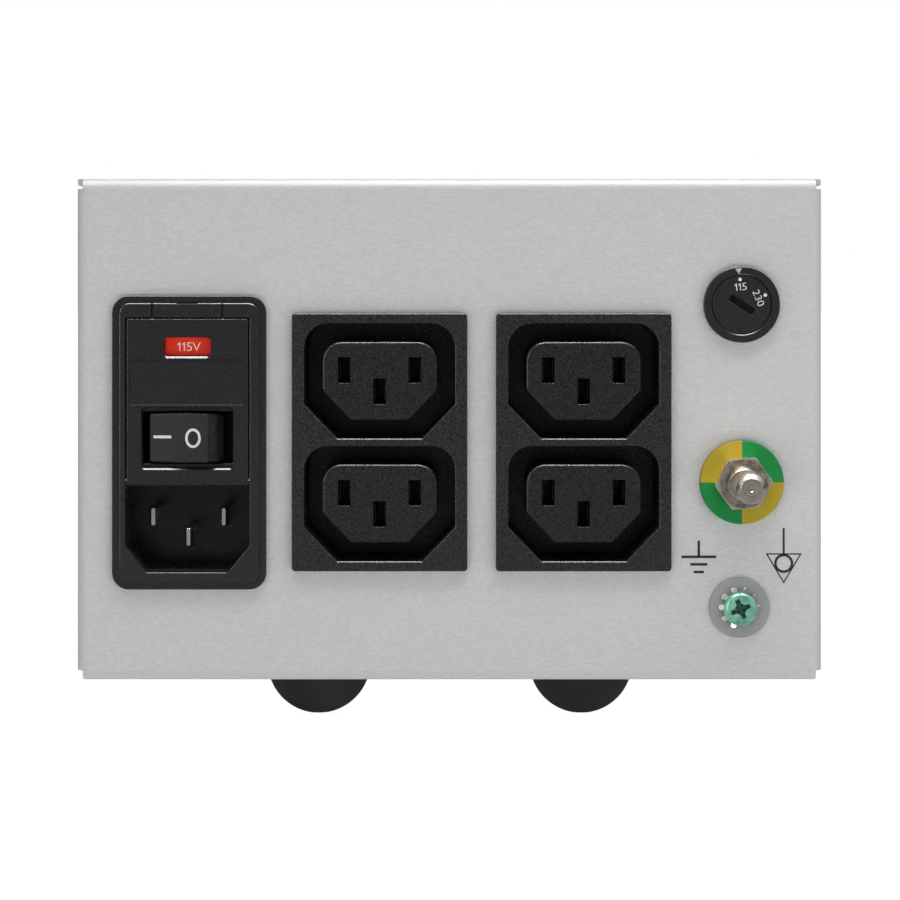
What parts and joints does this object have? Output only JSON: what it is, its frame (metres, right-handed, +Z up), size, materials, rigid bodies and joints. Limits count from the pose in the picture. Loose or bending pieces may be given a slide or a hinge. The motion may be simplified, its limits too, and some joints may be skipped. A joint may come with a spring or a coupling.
{
  "type": "isolation transformer",
  "caption": "Mains isolation transformer in a grey sheet steel case on rubber feet, with an inlet, a rocker switch, a fuse drawer, outlets, a voltage dial and an earthing pin on its front.",
  "frame": {"origin": "middle of the bounding box's bottom face, on the surface that the feet stand on", "axes": "+X to the right as seen from the front, +Y from the front panel into the case, +Z up"},
  "size_m": [0.148, 0.232, 0.1096],
  "materials": {
    "grey_paint": "fine textured powder coat, semi-matt",
    "zinc": "zinc plated, satin",
    "nickel": "nickel plated, bright",
    "black_rubber": "moulded, satin",
    "black_plastic": "fine spark-eroded grain",
    "door_plastic": "fine grain, a little lighter than the housing",
    "grey_plastic": "fine grain",
    "red_plastic": "smooth",
    "fuse_glass": "clear",
    "green_yellow": "quadrants in yellow and green",
    "tinned_brass": "tin plated",
    "core_steel": "wound strip",
    "winding_wrap": "taped",
    "lead_insulation": "stranded leads, insulated"
  },
  "bodies": {
    "case": {"outer_shell": "grey_paint", "base_tray": "grey_paint", "case_screws": "zinc", "clinch_nuts": "zinc", "selector_nut": "zinc", "potential_washer": "zinc", "potential_nut": "zinc", "earth_disc": "zinc", "star_washer": "zinc", "earth_screw": "zinc", "earth_nut": "zinc", "clamp_washer": "zinc", "centre_bolt": "zinc", "centre_nut": "zinc", "inlet_pins": "nickel", "switch_terminals": "nickel", "outlet_contacts": "nickel", "selector_terminals": "nickel", "potential_pin": "nickel", "foot_front_left": "black_rubber", "foot_front_right": "black_rubber", "foot_rear_left": "black_rubber", "foot_rear_right": "black_rubber", "lower_pad": "black_rubber", "upper_pad": "black_rubber", "inlet_housing": "black_plastic", "switch_body": "black_plastic", "outlet_block_left": "black_plastic", "outlet_block_right": "black_plastic", "outlet_core_left_upper": "black_plastic", "outlet_core_left_lower": "black_plastic", "outlet_core_right_upper": "black_plastic", "outlet_core_right_lower": "black_plastic", "selector_body": "grey_plastic", "thermal_cutout": "grey_plastic", "potential_disc": "green_yellow", "ring_terminals": "tinned_brass", "transformer_core": "core_steel", "transformer_winding": "winding_wrap", "primary_leads": "lead_insulation", "secondary_leads": "lead_insulation", "selector_leads": "lead_insulation", "earth_leads": "lead_insulation"},
    "rocker": {"rocker": "door_plastic"},
    "fuse_door": {"fuse_door": "door_plastic"},
    "fuse_drawer": {"fuse_drawer": "door_plastic", "fuse_tubes": "fuse_glass", "fuse_caps": "nickel", "voltage_flag": "red_plastic"},
    "selector_dial": {"selector_dial": "grey_plastic"}
  },
  "joints": [
    {"name": "rocker_tilt", "type": "hinge", "parent": "case", "child": "rocker", "pos_m": [-0.0518, -0.089, 0.0583], "axis": [0, 0, 1], "range_deg": [0, 24]},
    {"name": "fuse_door_hinge", "type": "hinge", "parent": "case", "child": "fuse_door", "pos_m": [-0.0518, -0.0954, 0.0496], "axis": [1, 0, 0], "range_deg": [0, 100]},
    {"name": "fuse_drawer_slide", "type": "slide", "parent": "case", "child": "fuse_drawer", "axis": [0, -1, 0], "range_m": [0, 0.021]},
    {"name": "output_selector_turn", "type": "hinge", "parent": "case", "child": "selector_dial", "pos_m": [0.0579, -0.094, 0.08465], "axis": [0, -1, 0], "range_deg": [0, 72]}
  ],
  "couplings": [
    {"joint": "fuse_drawer_slide", "follows": "fuse_door_hinge", "m_per_rad": 0.012}
  ]
}
